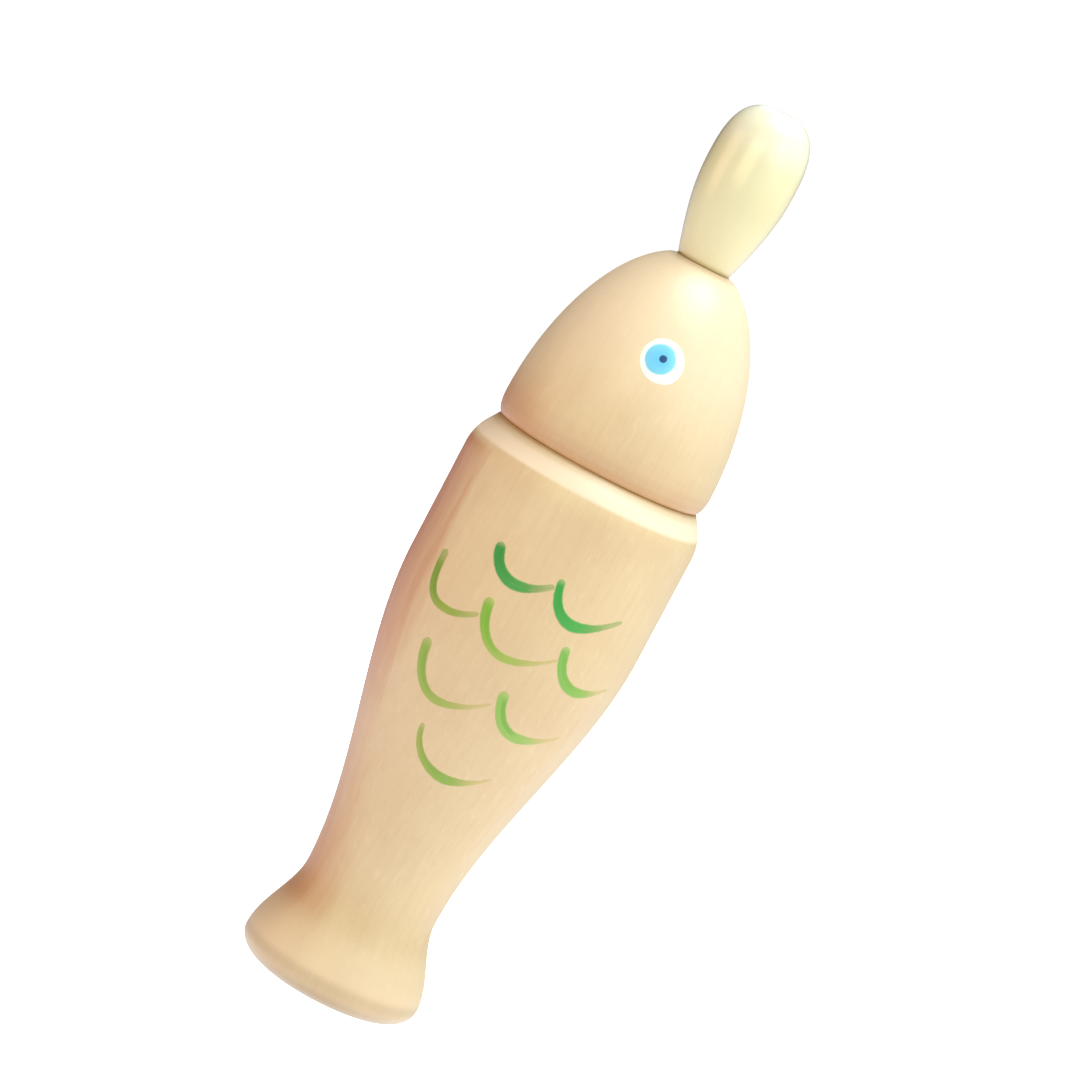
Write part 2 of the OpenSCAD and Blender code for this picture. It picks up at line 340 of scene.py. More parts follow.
def make_head():
    """The turned head: dome, rounded base, tenon, and the bore for the stick."""
    outline = inside([(BORE_R + 0.3, MOUTH_Z)])
    outline += outside([(r, MOUTH_Z) for r in (4.4, 5.6, MOUTH_R - 0.5)])
    outline += outside([(MOUTH_R - 0.12, MOUTH_Z - 0.12)])
    outline += outside([(head_radius(z), z) for z in span(MOUTH_Z - 0.45, HEAD_WIDEST_Z, 0.9)])
    for a in range(84, -1, -7):
        turn = math.radians(a)
        outline += outside([(
            HEAD_BASE_R + (HEAD_R - HEAD_BASE_R) * math.sin(turn),
            BODY_TOP + (HEAD_WIDEST_Z - BODY_TOP) * (1 - math.cos(turn)))])
    outline += outside([(r, BODY_TOP) for r in (20.5, 18.5, TENON_R + 0.2)])
    outline += inside([(TENON_R, z) for z in span(BODY_TOP - 0.2, TENON_END + 1.2, 4.0)])
    outline += inside(corner((TENON_R, BODY_TOP), (TENON_R, TENON_END), (0, TENON_END), 0.8, 4))
    outline += inside([(r, TENON_END) for r in (13.0, 9.0, 5.5, BORE_R + 0.3)])
    outline += inside([(BORE_R, z) for z in span(TENON_END + 0.3, MOUTH_Z - 0.3, 6.0)])
    outline.reverse()
    return turned("fish_head_turned", outline, closed=True)


def make_knob():
    """The turned knob: a narrow foot, a flare, a rounded end, and a blind hole for the stick."""
    hole_end = MOUTH_Z + KNOB_BORE * (KNOB_TIP - MOUTH_Z) + GLUE_ROOM
    outline = inside([(0.0, hole_end)])
    outline += inside([(STICK_R + GLUE_ROOM, z) for z in span(hole_end, MOUTH_Z + 0.2, 4.0)])
    outline += inside([(STICK_R + 0.2, MOUTH_Z)])
    outline += outside([(4.4, MOUTH_Z)])
    outline += outside(corner(
        (0, MOUTH_Z), (KNOB_BASE_R, MOUTH_Z), (KNOB_BASE_R + 1, MOUTH_Z + 4), 0.5, 4))
    for t in span(0.08, 1.0, 0.035):
        bow = 1 - math.cos(math.pi / 2 * (1 - t))
        outline += outside([(
            KNOB_R + (KNOB_BASE_R - KNOB_R) * bow,
            MOUTH_Z + (KNOB_WIDEST_Z - MOUTH_Z) * t)])
    for a in span(3, 87, 3):
        turn = math.radians(a)
        outline += outside([(
            KNOB_R * math.cos(turn) ** (2 / KNOB_DOME_POWER),
            KNOB_WIDEST_Z + (KNOB_TIP - KNOB_WIDEST_Z) * math.sin(turn) ** (2 / KNOB_DOME_POWER))])
    outline += outside([(0.0, KNOB_TIP)])
    return turned("scraper_knob_turned", outline)


def make_stick():
    """The dowel: a ball end in the chamber and a small chamfer at the end in the knob."""
    outline = outside([(r, STICK_END + up) for r, up in quarter(STICK_R, 9)])
    outline += outside([(STICK_R, z) for z in span(STICK_END + STICK_R, STICK_TOP - 0.8, 3.0)[1:]])
    outline += outside([
        (STICK_R - 0.3, STICK_TOP - 0.2), (STICK_R - 0.8, STICK_TOP), (0.0, STICK_TOP)])
    return turned("scraper_stick_dowel", outline)


def on_surface(x, z, lift, radius, side):
    """The point at (x, z) on a turned surface, lifted off it; side is -1 for the painted flank."""
    r = radius(z)
    angle = math.asin(max(-0.999, min(0.999, x / r)))
    return ((r + lift) * math.sin(angle), side * (r + lift) * math.cos(angle), z)


def stroke_point(start, low, end, square, t):
    """Place t along a brush stroke: a quarter turn down, then a lifting sweep."""
    if t < STROKE_TURN:
        a = math.pi / 2 * t / STROKE_TURN
        over, down = math.cos(a) ** (2 / square), 1 - math.sin(a) ** (2 / square)
        return Vector((low[0] - (low[0] - start[0]) * over, low[1] + (start[1] - low[1]) * down))
    u = (t - STROKE_TURN) / (1 - STROKE_TURN)
    return Vector((low[0] + (end[0] - low[0]) * u, low[1] + (end[1] - low[1]) * u ** 1.8))


def stroke_width(widths, t, gone):
    """Width at place t, gone millimetres after the landing: round ends and a smooth swell."""
    landing, belly, tail = widths
    if t < STROKE_TURN:
        width = landing + (belly - landing) * ease(t / STROKE_TURN)
    else:
        width = belly + (tail - belly) * ease((t - STROKE_TURN) / (1 - STROKE_TURN)) ** 0.8
    cap = min(1.0, gone / (0.5 * landing))
    lift = min(1.0, (1 - t) / 0.05)
    return width * math.sqrt(1 - (1 - cap) ** 2) * (0.25 + 0.75 * math.sqrt(1 - (1 - lift) ** 2))


def make_scale(number, start, low, end, square, widths):
    """A brush stroke: a thin closed coat with a domed top that follows the body's curve."""
    along_count, across_count = 72, 14
    top, bottom = [], []
    along, across = [], []
    gone = 0.0

    def place(t):
        return stroke_point(start, low, end, square, max(0.0, min(1.0, t)))

    before = place(0.0)
    for i in range(along_count + 1):
        t = (i / along_count) ** 1.25
        here = place(t)
        gone += (here - before).length
        before = here
        run = place(t + 0.02) - place(t - 0.02)
        normal = Vector((-run.y, run.x)).normalized()
        wobble = 1 + 0.08 * noise.noise(Vector((t * 6, number * 3.1, 0.5)))
        half = max(0.02, 0.5 * stroke_width(widths, t, gone) * wobble)
        for j in range(across_count + 1):
            q = -1 + 2 * j / across_count
            ragged = 1 + 0.07 * noise.noise(Vector((t * 26, number * 5.7, 2.0 * (q > 0))))
            x, z = here + normal * q * half * ragged
            dome = (1 - abs(q) ** 3) * min(0.10, 0.05 + 0.05 * half)
            bristle = 0.012 * noise.noise(Vector((q * 7 + number, t * 2.5, 3.3))) * (1 - q * q)
            top.append(on_surface(x, z, dome + bristle - 0.01, body_radius, -1))
            bottom.append(on_surface(x, z, -STROKE_SUNK, body_radius, -1))
            along.append(t)
            across.append(q)
    return paint_coat(
        f"scale_{number}_brushed", top, bottom, along_count, across_count,
        {"along": along, "across": across})


def paint_coat(name, top, bottom, long_count, short_count, values):
    """Closes a grid's top and bottom sheets into one thin solid."""
    row = short_count + 1
    size = len(top)
    faces = []
    for i in range(long_count):
        for j in range(short_count):
            a, b = i * row + j, i * row + j + 1
            c, d = b + row, a + row
            faces.append([a, d, c, b])
            faces.append([size + a, size + b, size + c, size + d])
    rim = list(range(short_count))
    rim += [i * row + short_count for i in range(long_count)]
    rim += [long_count * row + j for j in range(short_count, 0, -1)]
    rim += [i * row for i in range(long_count, 0, -1)]
    for here, there in zip(rim, rim[1:] + rim[:1]):
        faces.append([here, there, size + there, size + here])
    doubled = {key: numbers + numbers for key, numbers in values.items()}
    return new_object(name, top + bottom, faces, doubled)


def make_spot(name, side, centre, reach, lifts, seed, swell):
    """A dab of paint on the head: a closed coat with an uneven rim and a domed top.

    lifts are the heights of its rim and its dome over the wood, and swell is (angle in
    degrees, part) for a rim that bulges to one side.
    """
    around, rings = 64, 12
    low, high = lifts
    verts, faces = [], []
    radial, bearing = [], []
    for sheet in (0, 1):
        for i in range(rings + 1):
            q = i / rings
            for k in range(around if i else 1):
                a = 2 * math.pi * k / around
                uneven = noise.noise(Vector((math.cos(a) * 1.6, math.sin(a) * 1.6, seed)))
                rim = 1 + 0.035 * uneven
                rim += swell[1] * max(0.0, math.cos(a - math.radians(swell[0]))) ** 3
                x = centre[0] + reach * rim * q * math.cos(a)
                z = centre[1] + reach * rim * q * math.sin(a)
                lift = low - SPOT_RIM if sheet else low + (high - low) * (1 - q ** 6)
                verts.append(on_surface(x, z, lift, head_radius, side))
                radial.append(q)
                bearing.append(math.cos(a - math.radians(215)) * q)
    size = 1 + rings * around

    def at(sheet, i, k):
        return sheet * size + (0 if i == 0 else 1 + (i - 1) * around + k % around)

    for k in range(around):
        faces.append([at(0, 0, 0), at(0, 1, k), at(0, 1, k + 1)])
        faces.append([at(1, 0, 0), at(1, 1, k + 1), at(1, 1, k)])
        for i in range(1, rings):
            faces.append([
                at(0, i, k), at(0, i + 1, k), at(0, i + 1, k + 1), at(0, i, k + 1)])
            faces.append([
                at(1, i, k + 1), at(1, i + 1, k + 1), at(1, i + 1, k), at(1, i, k)])
        faces.append([
            at(0, rings, k), at(1, rings, k), at(1, rings, k + 1), at(0, rings, k + 1)])
    if side > 0:
        faces = [face[::-1] for face in faces]
    return new_object(name, verts, faces, {"radial": radial, "bearing": bearing})


# ---- material building blocks ----

def linear(colour):
    """A #rrggbb colour as linear RGBA."""
    parts = [int(colour[k:k + 2], 16) / 255 for k in (1, 3, 5)]
    return tuple(
        p / 12.92 if p <= 0.04045 else ((p + 0.055) / 1.055) ** 2.4 for p in parts) + (1.0,)


class Nodes:
    """Short names for building a node tree."""

    def __init__(self, tree):
        self.tree = tree

    def add(self, kind, **settings):
        """A new node with some of its settings."""
        node = self.tree.nodes.new(kind)
        for key, value in settings.items():
            setattr(node, key, value)
        return node

    def put(self, value, socket):
        """Links an output to a socket, or sets the socket to a plain value."""
        if isinstance(value, bpy.types.NodeSocket):
            self.tree.links.new(value, socket)
        else:
            socket.default_value = value

    def math(self, operation, a, b=0.0, c=0.0, clamp=False):
        node = self.add("ShaderNodeMath", operation=operation, use_clamp=clamp)
        for value, socket in zip((a, b, c), node.inputs):
            self.put(value, socket)
        return node.outputs[0]

    def vector(self, operation, a, b=(0, 0, 0)):
        node = self.add("ShaderNodeVectorMath", operation=operation)
        self.put(a, node.inputs[0])
        self.put(b, node.inputs[1])
        return node.outputs["Value"] if operation == "LENGTH" else node.outputs[0]

    def noise(self, where, scale, detail=3.0, roughness=0.5):
        node = self.add("ShaderNodeTexNoise")
        self.put(where, node.inputs["Vector"])
        node.inputs["Scale"].default_value = scale
        node.inputs["Detail"].default_value = detail
        node.inputs["Roughness"].default_value = roughness
        return node.outputs["Fac"]

    def ramp(self, value, *stops):
        """Maps value through (place, level) stops, smoothly."""
        node = self.add("ShaderNodeValToRGB")
        node.color_ramp.interpolation = "EASE"
        points = node.color_ramp.elements
        while len(points) < len(stops):
            points.new(0.5)
        for point, (place, level) in zip(points, stops):
            point.position = place
            point.color = (level, level, level, 1.0) if isinstance(level, float) else level
        self.put(value, node.inputs[0])
        return node.outputs[0]

    def band(self, value, *stops):
        """Like ramp, for a value that runs outside 0 to 1."""
        first, last = stops[0][0], stops[-1][0]
        length = last - first
        scaled = self.math("DIVIDE", self.math("SUBTRACT", value, first), length, clamp=True)
        return self.ramp(scaled, *[((place - first) / length, level) for place, level in stops])

    def tint(self, colour, factor, strength, towards):
        """Mixes a colour towards another by factor times strength."""
        return self.mix(self.math("MULTIPLY", factor, strength), colour, linear(towards))

    def mix(self, factor, a, b, blend="MIX"):
        """Colour a where factor is 0, and b (or a blended with b) where it is 1."""
        node = self.add("ShaderNodeMix", data_type="RGBA", blend_type=blend)
        self.put(factor, node.inputs[0])
        self.put(a, node.inputs[6])
        self.put(b, node.inputs[7])
        return node.outputs[2]

    def attribute(self, name):
        """A number stored at each vertex of the mesh."""
        return self.add("ShaderNodeAttribute", attribute_name=name).outputs["Fac"]

    def object_place(self):
        return self.add("ShaderNodeTexCoord").outputs["Object"]

    def millimetres(self, place):
        return self.vector("MULTIPLY", place, (1 / MM, 1 / MM, 1 / MM))

    def split(self, vector):
        """The x, y and z of a vector."""
        node = self.add("ShaderNodeSeparateXYZ")
        self.put(vector, node.inputs[0])
        return node.outputs

    def bump(self, height, strength, distance):
        node = self.add("ShaderNodeBump")
        node.inputs["Strength"].default_value = strength
        node.inputs["Distance"].default_value = distance
        self.put(height, node.inputs["Height"])
        return node.outputs["Normal"]


def material(name):
    """A new material, its node helper and its principled shader."""
    mat = bpy.data.materials.new(name)
    mat.use_nodes = True
    return mat, Nodes(mat.node_tree), mat.node_tree.nodes["Principled BSDF"]


def wood_group():
    """Pale close-grained wood as a solid texture: growth rings, fibres, pores and flecks.

    In: a shift that picks another piece of the plank, and its light and dark colours.
    Out: colour, and a height for bump.
    """
    tree = bpy.data.node_groups.new("Pale turned wood", "ShaderNodeTree")
    face = tree.interface
    face.new_socket("Shift", in_out="INPUT", socket_type="NodeSocketVector")
    face.new_socket("Light", in_out="INPUT", socket_type="NodeSocketColor")
    face.new_socket("Dark", in_out="INPUT", socket_type="NodeSocketColor")
    face.new_socket("Color", in_out="OUTPUT", socket_type="NodeSocketColor")
    face.new_socket("Height", in_out="OUTPUT", socket_type="NodeSocketFloat")
    nodes = Nodes(tree)
    given = nodes.add("NodeGroupInput")
    result = nodes.add("NodeGroupOutput")

    shifted = nodes.vector("ADD", nodes.millimetres(nodes.object_place()), given.outputs["Shift"])
    stretched = nodes.vector("MULTIPLY", shifted, (1.0, 1.0, 0.12))

    # growth rings round a pith that lies beside the piece and leans a little
    lean = nodes.add("ShaderNodeVectorRotate", rotation_type="EULER_XYZ")
    lean.inputs["Rotation"].default_value = (math.radians(2.5), math.radians(-1.8), 0)
    nodes.put(shifted, lean.inputs["Vector"])
    flat = nodes.vector("MULTIPLY", lean.outputs[0], (1, 1, 0))
    from_pith = nodes.vector("LENGTH", nodes.vector("ADD", flat, (46, 38, 0)))
    wander = nodes.math("MULTIPLY", nodes.noise(stretched, 0.06, 2.0), 7.0)
    ring_place = nodes.math("DIVIDE", nodes.math("ADD", from_pith, wander), 2.6)
    ring = nodes.math("FRACT", ring_place)
    late_wood = nodes.ramp(ring, (0.0, 0.0), (0.55, 0.25), (0.86, 1.0), (1.0, 0.0))

    # fibres and pores, long along the grain
    along_grain = nodes.vector("MULTIPLY", shifted, (1.0, 1.0, 0.035))
    fibres = nodes.noise(along_grain, 1.7, 5.0, 0.62)
    pore_place = nodes.vector("MULTIPLY", shifted, (1.0, 1.0, 0.16))
    pores = nodes.ramp(nodes.noise(pore_place, 2.6, 2.0, 0.5), (0.60, 0.0), (0.70, 1.0))
    fleck_place = nodes.vector("MULTIPLY", shifted, (1.0, 0.35, 0.30))
    flecks = nodes.ramp(nodes.noise(fleck_place, 1.1, 1.0, 0.4), (0.62, 0.0), (0.72, 1.0))
    blotches = nodes.noise(shifted, 0.045, 3.0, 0.55)

    darkness = nodes.math("MULTIPLY", late_wood, 0.07)
    darkness = nodes.math("MULTIPLY_ADD", nodes.math("SUBTRACT", fibres, 0.5), 0.32, darkness)
    darkness = nodes.math("MULTIPLY_ADD", pores, 0.12, darkness)
    darkness = nodes.math("MULTIPLY_ADD", nodes.math("SUBTRACT", blotches, 0.5), 0.9, darkness)
    darkness = nodes.math("ADD", darkness, 0.30, clamp=True)
    colour = nodes.mix(darkness, given.outputs["Light"], given.outputs["Dark"])
    fleck_strength = nodes.math("MULTIPLY", flecks, 0.10)
    colour = nodes.mix(fleck_strength, colour, linear("#fbeccb"))
    nodes.put(colour, result.inputs["Color"])

    height = nodes.math("MULTIPLY_ADD", pores, -0.8, nodes.math("MULTIPLY", fibres, 0.7))
    nodes.put(height, result.inputs["Height"])
    return tree


WOOD = wood_group()


def add_wood(nodes, shift, light, dark):
    """Puts the wood group in a tree and returns its colour and height."""
    node = nodes.add("ShaderNodeGroup", node_tree=WOOD)
    node.inputs["Shift"].default_value = shift
    node.inputs["Light"].default_value = linear(light)
    node.inputs["Dark"].default_value = linear(dark)
    return node.outputs["Color"], node.outputs["Height"]


def turning_marks(nodes, spacing):
    """Faint rings that the gouge and the sandpaper leave, about spacing millimetres apart."""
    rings = nodes.vector("MULTIPLY", nodes.object_place(), (60, 60, 1 / (MM * spacing)))
    return nodes.noise(rings, 1.0, 2.0, 0.6)


# Shift in the plank, light colour and dark colour.
BODY_WOOD = ((0, 0, 0), "#e7d2a9", "#d1ad82")
HEAD_WOOD = ((21, -13, 57), "#e6d2aa", "#d0ad83")
STICK_WOOD = ((-90, 44, 31), "#ecd3a6", "#cda676")


def shaded_side(nodes, x, y, z, wander, reach=0.85):
    """Mask of the side at -X, away from the key light, where shade and warm bounce light are
    painted:
    1 there and 0 by the flanks, reach radians off, with a ragged edge.

    The edge wanders with the grain, and the low end turns a little to the front.
    """
    leftward, forward = nodes.math("MULTIPLY", x, -1.0), nodes.math("MULTIPLY", y, -1.0)
    around = nodes.math("ARCTAN2", leftward, forward)
    grain = nodes.add("ShaderNodeCombineXYZ")
    nodes.put(nodes.math("MULTIPLY", around, 5.0), grain.inputs[0])
    nodes.put(nodes.math("MULTIPLY", z, 0.016), grain.inputs[1])
    ragged = nodes.math("SUBTRACT", nodes.noise(grain.outputs[0], 1.0, 5.0, 0.65), 0.5)
    low_end = nodes.band(z, (15.0, 1.0), (62.0, 0.0))
    middle = nodes.math("MULTIPLY_ADD", low_end, math.radians(-26), math.radians(90))
    off = nodes.math("ABSOLUTE", nodes.math("SUBTRACT", around, middle))
    return nodes.band(nodes.math("MULTIPLY_ADD", ragged, wander, off),
                      (0.10, 1.0), (0.5 * reach, 0.62), (reach, 0.0))


def body_bands(nodes, colour, x, y, z):
    """Painted light on the body: a redder painted shade down the -X side, painted highlights on
    the bevel and the lip, and painted shade at the seam and the foot.
    """
    # painted shade: a warm, redder shade down the -X side, away from the key light
    side_shade_height = nodes.band(
        z, (7.0, 0.0), (17.0, 0.6), (44.0, 0.45), (80.0, 1.0),
        (BEVEL_Z - 1.6, 0.95), (BEVEL_Z + 0.2, 0.0))
    side_shade = nodes.math("MULTIPLY", shaded_side(nodes, x, y, z, 0.9), side_shade_height)
    colour = nodes.tint(colour, side_shade, 0.88, "#c36b30")
    # painted highlight: the bevel paler, as a bright band of light on its upward slope
    bevel = nodes.band(
        z, (BEVEL_Z - 0.1, 0.0), (BEVEL_Z + 0.8, 1.0), (BODY_TOP - 2.2, 0.9),
        (BODY_TOP - 1.0, 0.45), (BODY_TOP - 0.3, 0.0))
    colour = nodes.tint(colour, bevel, 0.97, "#f9e5cb")
    # painted highlight: the tail's lip and flare paler, as a band of light
    lip = nodes.band(z, (4.4, 0.0), (7.4, 1.0), (11.5, 0.85), (18.0, 0.0))
    colour = nodes.tint(colour, lip, 0.62, "#f3dcbc")
    # painted shade: the foot darker and greyer where the tail meets the floor, with a faint darker
    # ring above it
    foot = nodes.band(z, (0.0, 1.0), (1.6, 0.50), (3.6, 0.25), (5.2, 0.34), (6.8, 0.0))
    colour = nodes.tint(colour, foot, 0.6, "#ab9b85")
    # painted shade in the crease where the head sits on the body
    seam = nodes.band(z, (BODY_TOP - 0.9, 0.0), (BODY_TOP, 1.0))
    return nodes.tint(colour, seam, 0.35, "#a9743f")


def head_bands(nodes, colour, x, y, z):
    """Painted light on the head: a painted highlight on the upper head, painted warm bounce light
    low on the shaded side, and painted shade at the seam and round the mouth.
    """
    # painted highlight: the upper head paler, as lit from above
    nose = nodes.band(z, (126.0, 0.0), (150.0, 1.0))
    colour = nodes.tint(colour, nose, 0.45, "#fbe8cf")
    # painted warm bounce light: an orange glow low on the shaded -X side of the head
    low = nodes.band(z, (BODY_TOP, 1.0), (BODY_TOP + 16.0, 0.0))
    side = shaded_side(nodes, x, y, z, 0.4, 1.2)
    colour = nodes.tint(colour, nodes.math("MULTIPLY", low, side), 0.85, "#bd6f28")
    # painted shade on the head's rounded base, deepest at the seam
    seam = nodes.band(
        z, (BODY_TOP, 1.0), (BODY_TOP + 1.2, 0.92), (BODY_TOP + 2.6, 0.55),
        (BODY_TOP + 5.0, 0.18), (BODY_TOP + 8.0, 0.0))
    colour = nodes.tint(colour, seam, 0.62, "#b98046")
    # painted shade round the mouth, where the knob sits
    mouth = nodes.band(z, (MOUTH_Z - 1.2, 0.0), (MOUTH_Z, 1.0))
    return nodes.tint(colour, mouth, 0.4, "#b98c58")


def bare_wood(name, wood, bands=None, mark_spacing=1.1):
    """Fine-sanded unfinished wood, rougher and darker in bores and cuts."""
    mat, nodes, shader = material(name)
    colour, height = add_wood(nodes, *wood)
    if bands:
        colour = bands(nodes, colour, *nodes.split(nodes.millimetres(nodes.object_place())))
    inner = nodes.attribute("inner")
    cut = nodes.attribute("cut")
    colour = nodes.tint(colour, inner, 0.55, "#b58a5b")
    colour = nodes.tint(colour, nodes.ramp(cut, (0.05, 0.0), (0.9, 1.0)), 0.42, "#b98c60")
    nodes.put(colour, shader.inputs["Base Color"])
    rough = nodes.math("MULTIPLY_ADD", height, 0.10, 0.44)
    rough = nodes.math("MULTIPLY_ADD", nodes.math("MAXIMUM", inner, cut), 0.25, rough, clamp=True)
    nodes.put(rough, shader.inputs["Roughness"])
    shader.inputs["Specular IOR Level"].default_value = 0.55
    shader.inputs["Coat Weight"].default_value = 0.35
    shader.inputs["Coat Roughness"].default_value = 0.38
    marks = turning_marks(nodes, mark_spacing)
    relief = nodes.math("MULTIPLY_ADD", marks, 0.6, nodes.math("MULTIPLY", height, 0.6))
    nodes.put(nodes.bump(relief, 0.35, 0.00006), shader.inputs["Normal"])
    return mat


def stained_knob():
    """Turned wood stained cream under a satin lacquer, with painted highlight and painted shade; a
    little grain shows through.
    """
    mat, nodes, shader = material("knob_cream_lacquer")
    grain, height = add_wood(nodes, (70, 25, -40), "#f0edc6", "#e2d8a8")
    place = nodes.object_place()
    cloud = nodes.noise(place, 95.0, 3.0, 0.5)
    x, y, z = nodes.split(nodes.millimetres(place))
    # the cream, darker towards the foot and paler towards the rounded end as a painted highlight
    cream_and_highlight = nodes.band(
        z, (MOUTH_Z, linear("#dcd1a4")), (MOUTH_Z + 12, linear("#dfd9aa")),
        (MOUTH_Z + 22, linear("#eeebc4")), (MOUTH_Z + 28, linear("#f6f5e1")),
        (KNOB_TIP, linear("#f8f7e8")))
    colour = nodes.mix(0.35, cream_and_highlight, grain)
    colour = nodes.tint(colour, nodes.ramp(cloud, (0.35, 0.0), (0.75, 0.16)), 1.0, "#e0d49a")
    # painted shade on the -X side, away from the key light
    shade_height = nodes.band(z, (MOUTH_Z, 1.0), (MOUTH_Z + 20, 0.9), (KNOB_TIP - 3, 0.0))
    shaded = nodes.math("MULTIPLY", shaded_side(nodes, x, y, z, 0.3, 1.1), shade_height)
    colour = nodes.tint(colour, shaded, 0.36, "#bcb46a")
    # painted shade at the foot, where the knob meets the head
    collar = nodes.band(z, (MOUTH_Z, 1.0), (MOUTH_Z + 1.3, 0.0))
    colour = nodes.tint(colour, collar, 0.4, "#a8915c")
    inner = nodes.attribute("inner")
    colour = nodes.mix(nodes.math("MULTIPLY", inner, 0.6), colour, linear("#c9a878"))
    nodes.put(colour, shader.inputs["Base Color"])
    nodes.put(nodes.math("MULTIPLY_ADD", cloud, 0.16, 0.24), shader.inputs["Roughness"])
    shader.inputs["Coat Weight"].default_value = 0.8
    shader.inputs["Coat Roughness"].default_value = 0.17
    marks = turning_marks(nodes, 0.9)
    relief = nodes.math("MULTIPLY_ADD", marks, 0.5, nodes.math("MULTIPLY", height, 0.35))
    nodes.put(nodes.bump(relief, 0.22, 0.00005), shader.inputs["Normal"])
    return mat


def brushed_green(number, colours):
    """A stroke of water paint: denser where the brush landed, thin and streaky at its tail."""
    mat, nodes, shader = material(f"scale_{number}_green_paint")
    wood, wood_height = add_wood(nodes, *BODY_WOOD)
    along, across = nodes.attribute("along"), nodes.attribute("across")
    first, middle, last = (linear(c) for c in colours)
    paint = nodes.ramp(along, (0.12, first), (0.50, middle), (0.95, last))

    where = nodes.add("ShaderNodeCombineXYZ")
    nodes.put(nodes.math("MULTIPLY", across, 2.4), where.inputs[0])
    nodes.put(nodes.math("MULTIPLY", along, 2.2), where.inputs[1])
    where.inputs[2].default_value = number * 1.7
    streaks = nodes.noise(where.outputs[0], 2.2, 3.0, 0.6)
    paint = nodes.mix(nodes.ramp(streaks, (0.30, 0.0), (0.75, 0.35)), paint, middle)
    darker = nodes.mix(1.0, paint, linear("#cfe0b8"), "MULTIPLY")
    paint = nodes.mix(nodes.ramp(streaks, (0.25, 0.30), (0.50, 0.0)), paint, darker)

    # a fuller rim of paint on one side of the turn
    loaded_side = nodes.band(across, (-0.2, 0.0), (0.2, 1.0), (0.65, 1.0), (0.95, 0.0))
    loaded_turn = nodes.ramp(along, (0.03, 0.0), (0.10, 1.0), (0.34, 1.0), (0.50, 0.0))
    loaded = nodes.math("MULTIPLY", loaded_side, loaded_turn)
    loaded = nodes.math("MULTIPLY", loaded, nodes.ramp(streaks, (0.25, 0.5), (0.6, 1.0)))
    deep = nodes.mix(1.0, paint, linear("#b4dca0"), "MULTIPLY")
    fullness = 0.65 if number == LOADED_STROKE else 0.30
    paint = nodes.mix(nodes.math("MULTIPLY", loaded, fullness), paint, deep)

    # the coat thins to its edges, its tail and between the bristles
    edge = nodes.ramp(nodes.math("ABSOLUTE", across), (0.72, 1.0), (1.0, 0.22))
    fade = nodes.ramp(along, (0.0, 0.60), (0.06, 1.0), (0.62, 0.98), (1.0, 0.62))
    dry = nodes.ramp(nodes.math("MULTIPLY_ADD", along, -0.30, streaks), (0.05, 0.60), (0.26, 1.0))
    cover = nodes.math("MULTIPLY", nodes.math("MULTIPLY", edge, fade), dry)
    nodes.put(nodes.mix(cover, wood, paint), shader.inputs["Base Color"])
    nodes.put(nodes.math("MULTIPLY_ADD", streaks, 0.2, 0.38), shader.inputs["Roughness"])
    relief = nodes.math("MULTIPLY_ADD", streaks, 0.8, nodes.math("MULTIPLY", wood_height, 0.3))
    nodes.put(nodes.bump(relief, 0.3, 0.00005), shader.inputs["Normal"])
    return mat


def dabbed_paint(name, centre_colour, rim_colour, shade_colour, over, soft_from):
    """A round dab of paint: a rim tint, brush swirls and an edge that thins onto what is below.

    over is "wood" or the colour below; the thinning starts soft_from of the way out.
    """
    mat, nodes, shader = material(name)
    radial, bearing = nodes.attribute("radial"), nodes.attribute("bearing")
    swirl = nodes.noise(nodes.object_place(), 900.0, 3.0, 0.6)
    outward = nodes.ramp(radial, (0.25, 0.0), (0.95, 1.0))
    colour = nodes.mix(outward, linear(centre_colour), linear(rim_colour))
    # painted shade: each dab darker on its lower -X side, away from the key light
    shade = nodes.math("MULTIPLY", nodes.ramp(bearing, (0.15, 0.0), (0.85, 1.0)), 0.6)
    colour = nodes.mix(shade, colour, linear(shade_colour))
    colour = nodes.mix(nodes.ramp(swirl, (0.35, 0.0), (0.75, 0.30)), colour, linear(centre_colour))
    if over == "wood":
        below = add_wood(nodes, *HEAD_WOOD)[0]
    else:
        below = linear(over)
    thin = nodes.ramp(radial, (soft_from, 0.0), (1.0, 0.85))
    nodes.put(nodes.mix(thin, colour, below), shader.inputs["Base Color"])
    nodes.put(nodes.math("MULTIPLY_ADD", swirl, 0.15, 0.26), shader.inputs["Roughness"])
    nodes.put(nodes.bump(swirl, 0.25, 0.00004), shader.inputs["Normal"])
    return mat


# ---- the pieces ----

def place_piece(obj, mat, body, node):
    """Paints a mesh, puts it on its moving body and hides the CAD node that it stands for."""
    obj.data.materials.append(mat)
    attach(obj, body)
    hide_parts(node)


def add_wooden_pieces():
    place_piece(make_body(), bare_wood("body_pale_wood", BODY_WOOD, body_bands),
                "fish_body", "body")
    place_piece(make_head(), bare_wood("head_pale_wood", HEAD_WOOD, head_bands),
                "fish_head", "head")
    place_piece(make_stick(), bare_wood("stick_pale_wood", STICK_WOOD, mark_spacing=2.4),
                "scraper", "scraper_stick")
    place_piece(make_knob(), stained_knob(), "scraper", "scraper_knob")


def add_scales():
    greens = ["deep", "deep", "olive"] + ["leaf"] * 5
    for number, (scale, green) in enumerate(zip(SCALES, greens), 1):
        *shape, colours = scale
        place_piece(make_scale(number, *shape), brushed_green(number, colours),
                    "fish_body", f"scale_{number}")


